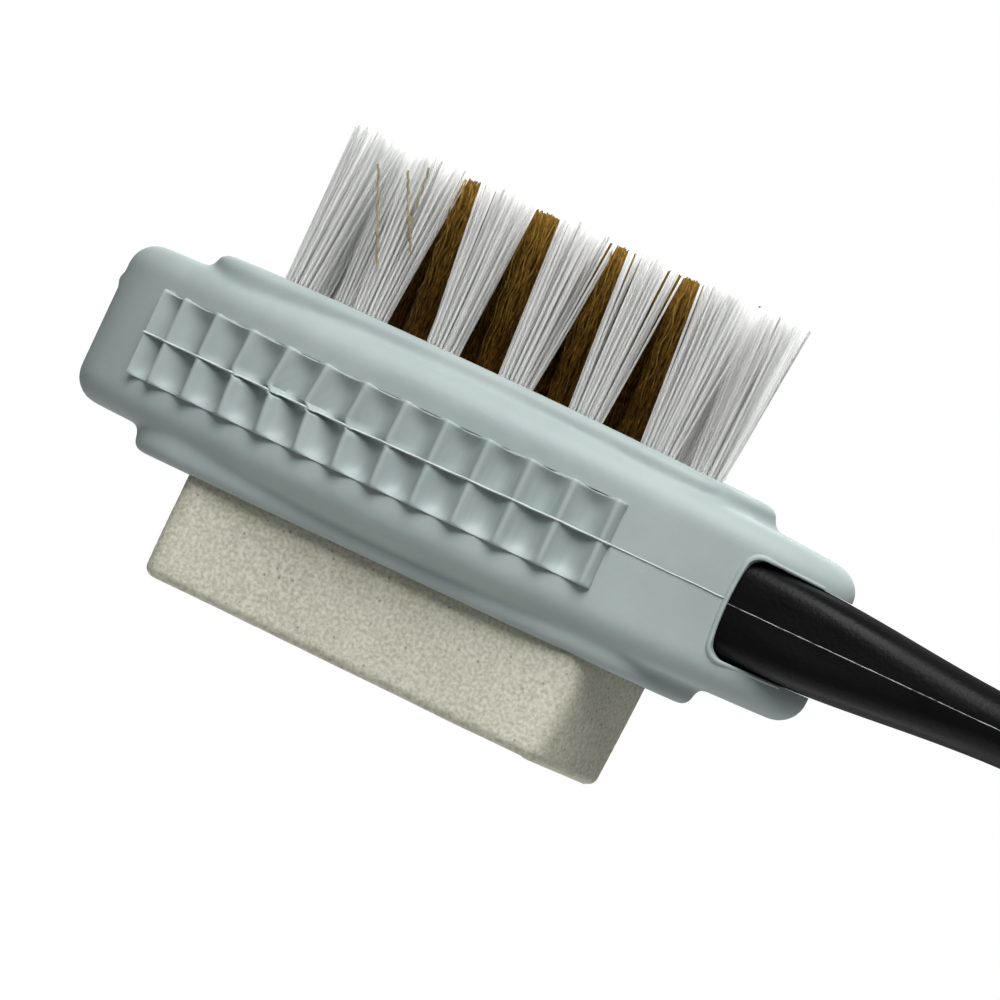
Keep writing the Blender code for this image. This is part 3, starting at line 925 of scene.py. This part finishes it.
def build_strays():
    points, faces = [], []
    for top, bottom in STRAYS:
        a, b = Vector(bottom) * MM, Vector(top) * MM
        a.z += AXIS_Z
        b.z += AXIS_Z
        path = crimped_path(a, b, 16, rng.uniform(0, 6.28), 0.09 * MM)
        add_tube(points, faces, path, 0.13 * MM, 6)
    return tube_object("stray_wires", points, faces)


strays = build_strays()
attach(strays, "root")

# %% [markdown]
# ## Finishes
# Each finish is a small node tree. Plain numbers sit on the shader's own sockets; only what varies over
# the piece, such as colour, gloss and grain, comes through nodes. All of it is driven by object
# coordinates in metres, so the grain keeps its real size.

# %% Finish helper
def new_finish(name, colour, roughness, metallic=0.0):
    material = bpy.data.materials.new(name)
    material.use_nodes = True
    tree = material.node_tree
    shader = tree.nodes["Principled BSDF"]
    shader.inputs["Base Color"].default_value = (*colour, 1)
    shader.inputs["Roughness"].default_value = roughness
    shader.inputs["Metallic"].default_value = metallic
    place_node = tree.nodes.new("ShaderNodeTexCoord")
    return material, tree, shader, place_node.outputs["Object"]


def grain_noise(tree, where, scale, detail=3.0, stretch=None):
    if stretch:
        mapping = tree.nodes.new("ShaderNodeMapping")
        mapping.inputs["Scale"].default_value = stretch
        tree.links.new(where, mapping.inputs["Vector"])
        where = mapping.outputs["Vector"]
    node = tree.nodes.new("ShaderNodeTexNoise")
    node.inputs["Scale"].default_value = scale
    node.inputs["Detail"].default_value = detail
    tree.links.new(where, node.inputs["Vector"])
    return node.outputs["Fac"]


def ramp(tree, value, stops):
    node = tree.nodes.new("ShaderNodeValToRGB")
    while len(node.color_ramp.elements) < len(stops):
        node.color_ramp.elements.new(0.5)
    for element, (position, colour) in zip(node.color_ramp.elements, stops):
        element.position = position
        element.color = (*colour, 1)
    tree.links.new(value, node.inputs["Fac"])
    return node.outputs["Color"]


def blend_colours(tree, share, first, second, mode="MIX"):
    node = tree.nodes.new("ShaderNodeMix")
    node.data_type = "RGBA"
    node.blend_type = mode
    if isinstance(share, float):
        node.inputs["Factor"].default_value = share
    else:
        tree.links.new(share, node.inputs["Factor"])
    tree.links.new(first, node.inputs["A"])
    tree.links.new(second, node.inputs["B"])
    return node.outputs["Result"]


def add_bump(tree, shader, height, strength, distance, below=None):
    node = tree.nodes.new("ShaderNodeBump")
    node.inputs["Strength"].default_value = strength
    node.inputs["Distance"].default_value = distance
    tree.links.new(height, node.inputs["Height"])
    if below:
        tree.links.new(below, node.inputs["Normal"])
    tree.links.new(node.outputs["Normal"], shader.inputs["Normal"])
    return node.outputs["Normal"]


def grey(value):
    return (value, value, value)


# %% [markdown]
# Moulded rubber: cool grey, faintly mottled, with pale dust caught in a fine matt skin.

# %% Rubber finish
def rubber_finish():
    material, tree, shader, where = new_finish("sleeve_rubber", (0.36, 0.42, 0.41), 0.55)
    mottle = grain_noise(tree, where, 130, 4)
    body = ramp(tree, mottle, ((0.3, (0.270, 0.318, 0.312)), (0.7, (0.305, 0.356, 0.347))))
    dust = grain_noise(tree, where, 2600, 2)
    dust_share = ramp(tree, dust, ((0.70, grey(0)), (0.78, grey(0.22))))
    pale = ramp(tree, dust, ((0, (0.42, 0.47, 0.46)), (1, (0.50, 0.54, 0.53))))
    tree.links.new(blend_colours(tree, dust_share, body, pale), shader.inputs["Base Color"])
    tree.links.new(ramp(tree, mottle, ((0.3, grey(0.5)), (0.7, grey(0.64)))), shader.inputs["Roughness"])
    skin = grain_noise(tree, where, 5200, 3)
    add_bump(tree, shader, skin, 0.25, 0.00005)
    shader.inputs["Specular IOR Level"].default_value = 0.42
    return material


# %% [markdown]
# Black plastic: the mould was etched, so the gloss breaks up into a fine leathery grain.

# %% Plastic finish
def handle_finish():
    material, tree, shader, where = new_finish("handle_plastic", (0.011, 0.011, 0.012), 0.36)
    etch = grain_noise(tree, where, 2100, 3)
    broad = grain_noise(tree, where, 240, 3, (0.35, 1, 1))
    tree.links.new(ramp(tree, broad, ((0.3, grey(0.36)), (0.7, grey(0.50)))), shader.inputs["Roughness"])
    tree.links.new(ramp(tree, broad, ((0.3, (0.0010, 0.0011, 0.0011)), (0.8, (0.003, 0.003, 0.0031)))),
                   shader.inputs["Base Color"])
    add_bump(tree, shader, etch, 0.5, 0.00009)
    shader.inputs["Specular IOR Level"].default_value = 0.12
    return material


def pale_thread_finish():
    material, tree, shader, where = new_finish("pale_parting_thread", (0.18, 0.19, 0.19), 0.5)
    patches = grain_noise(tree, where, 900, 3)
    # pale grey patches painted along the parting thread, on the black plastic
    tree.links.new(ramp(tree, patches, ((0.35, grey(0.03)), (0.6, grey(0.32)))), shader.inputs["Base Color"])
    return material


def flash_finish():
    material, tree, shader, where = new_finish("rubber_flash", (0.55, 0.6, 0.59), 0.5)
    patches = grain_noise(tree, where, 700, 3)
    tree.links.new(ramp(tree, patches, ((0.3, (0.38, 0.43, 0.42)), (0.7, (0.52, 0.56, 0.54)))),
                   shader.inputs["Base Color"])
    add_bump(tree, shader, patches, 0.2, 0.00004)
    return material


# %% [markdown]
# Gritty rubber: a warm cream body with darker specks and pale sand, and no gloss at all.

# %% Eraser finish
def eraser_finish():
    material, tree, shader, where = new_finish("eraser", (0.58, 0.56, 0.47), 0.93)
    cloud = grain_noise(tree, where, 260, 4)
    body = ramp(tree, cloud, ((0.3, (0.44, 0.43, 0.35)), (0.7, (0.53, 0.525, 0.43))))
    sand = grain_noise(tree, where, 2500, 3)
    pale_stops = ((0.35, (0.28, 0.28, 0.23)), (0.5, (0.46, 0.46, 0.38)), (0.66, (0.64, 0.64, 0.54)))
    pale = ramp(tree, sand, pale_stops)
    mixed = blend_colours(tree, 0.5, body, pale)
    speck = tree.nodes.new("ShaderNodeTexVoronoi")
    speck.inputs["Scale"].default_value = 700
    tree.links.new(where, speck.inputs["Vector"])
    speck_share = ramp(tree, speck.outputs["Distance"], ((0.05, grey(0.75)), (0.14, grey(0))))
    dark = ramp(tree, cloud, ((0, (0.13, 0.12, 0.10)), (1, (0.20, 0.18, 0.15))))
    tree.links.new(blend_colours(tree, speck_share, mixed, dark), shader.inputs["Base Color"])
    add_bump(tree, shader, sand, 0.6, 0.00012)
    shader.inputs["Specular IOR Level"].default_value = 0.15
    return material


# %% [markdown]
# Filaments: clear nylon lets some light through; drawn brass is brown with bright spots, painted dark at the
# roots as painted shade deep in the bundle and lighter at the tips as painted light.

# %% Filament finishes
def height_share_of(tree, where):
    """0 where the wires leave the rubber and 1 at their tips."""
    parts = tree.nodes.new("ShaderNodeSeparateXYZ")
    tree.links.new(where, parts.inputs["Vector"])
    scaled = tree.nodes.new("ShaderNodeMapRange")
    scaled.inputs["From Min"].default_value = AXIS_Z + 14 * MM
    scaled.inputs["From Max"].default_value = TIP_Z
    tree.links.new(parts.outputs["Z"], scaled.inputs["Value"])
    return scaled.outputs["Result"]


def nylon_finish():
    material, tree, shader, where = new_finish("nylon_filament", (0.84, 0.87, 0.84), 0.3)
    streak = grain_noise(tree, where, 900, 2, (1, 1, 0.05))
    tree.links.new(ramp(tree, streak, ((0.3, (0.94, 0.955, 0.93)), (0.7, (0.99, 1.0, 0.985)))),
                   shader.inputs["Base Color"])
    shader.inputs["Transmission Weight"].default_value = 0.1
    shader.inputs["Subsurface Weight"].default_value = 0.85
    shader.inputs["Subsurface Radius"].default_value = (1.0, 1.0, 1.0)
    shader.inputs["Subsurface Scale"].default_value = 0.003
    shader.inputs["IOR"].default_value = 1.38
    return material


def brass_finish():
    material, tree, shader, where = new_finish("brass_wire", (0.42, 0.25, 0.08), 0.42, 0.6)
    streak = grain_noise(tree, where, 1500, 3)
    # the wire colour is painted shade near the roots, deep between the tufts, blending to painted light at
    # the tips; the streaks vary the tone
    root_shade_stops = ((0.35, (0.05, 0.021, 0.0015)), (0.62, (0.15, 0.072, 0.007)), (0.8, (0.36, 0.20, 0.035)))
    painted_root_shade = ramp(tree, streak, root_shade_stops)
    painted_tip_light = ramp(tree, streak, ((0.3, (0.20, 0.10, 0.012)), (0.7, (0.55, 0.34, 0.07))))
    blended = blend_colours(tree, height_share_of(tree, where), painted_root_shade, painted_tip_light)
    tree.links.new(blended, shader.inputs["Base Color"])
    tree.links.new(ramp(tree, streak, ((0.3, grey(0.5)), (0.7, grey(0.3)))), shader.inputs["Roughness"])
    return material


def dull_wire_finish():
    material, tree, shader, where = new_finish("dull_wire", (0.36, 0.30, 0.20), 0.5, 0.2)
    streak = grain_noise(tree, where, 1500, 3)
    tree.links.new(ramp(tree, streak, ((0.3, (0.20, 0.16, 0.09)), (0.7, (0.42, 0.36, 0.25)))),
                   shader.inputs["Base Color"])
    return material


def block_finish():
    material, tree, shader, where = new_finish("block_plastic", (0.74, 0.74, 0.70), 0.5)
    mottle = grain_noise(tree, where, 400, 3)
    tree.links.new(ramp(tree, mottle, ((0.3, (0.68, 0.68, 0.64)), (0.7, (0.80, 0.80, 0.76)))),
                   shader.inputs["Base Color"])
    add_bump(tree, shader, mottle, 0.1, 0.00005)
    return material


def steel_finish():
    material, tree, shader, where = new_finish("steel_strip", (0.55, 0.55, 0.56), 0.35, 1.0)
    brushed = grain_noise(tree, where, 3000, 2, (0.1, 1, 1))
    tree.links.new(ramp(tree, brushed, ((0.3, grey(0.28)), (0.7, grey(0.45)))), shader.inputs["Roughness"])
    return material


def dress(thing, finish):
    thing.data.materials.clear()
    thing.data.materials.append(finish)


rubber, plastic, grit = rubber_finish(), handle_finish(), eraser_finish()
nylon, brass = nylon_finish(), brass_finish()
fin, thread = flash_finish(), pale_thread_finish()
dress(sleeve, rubber)
dress(handle, plastic)
dress(eraser, grit)
dress(strays, dull_wire_finish())
for strip in (near_flash, far_flash):
    dress(strip, fin)
for strip in (handle_near_flash, handle_far_flash):
    dress(strip, thread)
for node, tuft in tufts.items():
    dress(tuft, brass if node.startswith("brass") else nylon)
block, steel = block_finish(), steel_finish()
dress(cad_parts["brush_block"], block)
for name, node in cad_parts.items():
    if name.startswith("tuft_anchor"):
        dress(node, steel)
print("finishes", len(bpy.data.materials))

# %% [markdown]
# ## Floor and light
# A product table for a small brush starts with a pale floor well below it, so that the floor gives little
# light back and the underside still falls into shade.

# %% Floor
bm = bmesh.new()
floor_radius, floor_z = 0.26, -0.25
bmesh.ops.create_circle(bm, cap_ends=True, radius=floor_radius, segments=96)
floor = place("floor", bm)
floor.location.z = floor_z
floor_finish = bpy.data.materials.new("pale_floor")
floor_finish.use_nodes = True
floor_shader = floor_finish.node_tree.nodes["Principled BSDF"]
floor_shader.inputs["Base Color"].default_value = (0.7, 0.7, 0.7, 1)
floor_shader.inputs["Roughness"].default_value = 0.9
floor.data.materials.append(floor_finish)
print("floor height mm", round(floor_z / MM))

# %% [markdown]
# ## Lamps
# One broad soft lamp stands in front, above and a little to the handle's side. A weaker one behind the
# brush shines through the nylon, which looks grey without it. It casts no highlights.

# %% Lamps
def soft_light(name, location, size, watts):
    data = bpy.data.lights.new(name, "AREA")
    data.shape = "DISK"
    data.size = size
    data.energy = watts
    lamp = bpy.data.objects.new(name, data)
    bpy.context.scene.collection.objects.link(lamp)
    lamp.location = location
    towards = Vector((0.0, 0.0, AXIS_Z)) - Vector(location)
    lamp.rotation_euler = towards.to_track_quat("-Z", "Y").to_euler()
    return lamp


soft_light("key", (0.16, -0.51, 0.76), 0.85, 16)
back = soft_light("back", (-0.12, 0.6, 0.42), 0.5, 9)
back.visible_glossy = False
print("lamps", len(bpy.data.lights))

# %% [markdown]
# ## Surroundings
# The camera, and light that has passed through the nylon, meet white paper. Everything else is lit by a
# dim grey room, a little brighter from behind, so that white surroundings don't wash out the shading.

# %% Surroundings
world = bpy.data.worlds.new("studio")
bpy.context.scene.world = world
world.use_nodes = True
sky = world.node_tree
directions = sky.nodes.new("ShaderNodeTexCoord")
split = sky.nodes.new("ShaderNodeSeparateXYZ")
sky.links.new(directions.outputs["Generated"], split.inputs["Vector"])
lift = sky.nodes.new("ShaderNodeMath")
lift.operation = "MULTIPLY_ADD"
lift.inputs[1].default_value = 0.5
lift.inputs[2].default_value = 0.5
sky.links.new(split.outputs["Z"], lift.inputs[0])
sky_light = ramp(sky, lift.outputs["Value"], ((0.0, grey(0.20)), (0.5, grey(0.16)), (1.0, grey(0.22))))
backdrop = sky.nodes.new("ShaderNodeBackground")
backdrop.inputs["Color"].default_value = (1, 1, 1, 1)
rays = sky.nodes.new("ShaderNodeLightPath")
seen = sky.nodes.new("ShaderNodeMath")
seen.operation = "MAXIMUM"
sky.links.new(rays.outputs["Is Camera Ray"], seen.inputs[0])
sky.links.new(rays.outputs["Is Transmission Ray"], seen.inputs[1])
choose = sky.nodes.new("ShaderNodeMixShader")
sky.links.new(seen.outputs["Value"], choose.inputs["Fac"])
behind = sky.nodes.new("ShaderNodeMapRange")
behind.inputs["From Min"].default_value = 0.3
behind.inputs["From Max"].default_value = 0.9
sky.links.new(split.outputs["Y"], behind.inputs["Value"])
glow = sky.nodes.new("ShaderNodeMath")
glow.operation = "MULTIPLY"
sky.links.new(behind.outputs["Result"], glow.inputs[0])
sky.links.new(rays.outputs["Is Diffuse Ray"], glow.inputs[1])
paper = sky.nodes.new("ShaderNodeRGB")
paper.outputs["Color"].default_value = (*grey(0.7), 1)
spread = blend_colours(sky, glow.outputs["Value"], sky_light, paper.outputs["Color"])
sky.links.new(spread, sky.nodes["Background"].inputs["Color"])
sky.links.new(sky.nodes["Background"].outputs["Background"], choose.inputs[1])
sky.links.new(backdrop.outputs["Background"], choose.inputs[2])
sky.links.new(choose.outputs["Shader"], sky.nodes["World Output"].inputs["Surface"])
print("world nodes", len(sky.nodes))

# %% [markdown]
# ## Camera
# A long lens level with the axis, a little round to the handle's side, and rolled so that the handle runs
# down to the right.

# %% Camera
SIDE_ANGLE, ROLL = math.radians(22), math.radians(25.0)
DISTANCE, FIELD = 1.6, 0.0998
target = Vector((5.43 * MM, 0, AXIS_Z - 0.22 * MM))
backwards = Vector((math.sin(SIDE_ANGLE), -math.cos(SIDE_ANGLE), 0.0))
right = Vector((0, 0, 1)).cross(backwards).normalized()
up = backwards.cross(right)
rolled_right = right * math.cos(ROLL) + up * math.sin(ROLL)
rolled_up = up * math.cos(ROLL) - right * math.sin(ROLL)
camera_data = bpy.data.cameras.new("camera")
camera_data.sensor_width = 36
camera_data.lens = camera_data.sensor_width * DISTANCE / FIELD
camera_data.clip_start = 0.1
camera = bpy.data.objects.new("camera", camera_data)
bpy.context.scene.collection.objects.link(camera)
turn = Matrix((rolled_right, rolled_up, backwards)).transposed().to_4x4()
camera.matrix_world = Matrix.Translation(target + backwards * DISTANCE) @ turn
bpy.context.scene.camera = camera
bpy.context.scene.view_settings.view_transform = "Standard"
print("lens mm", round(camera_data.lens))
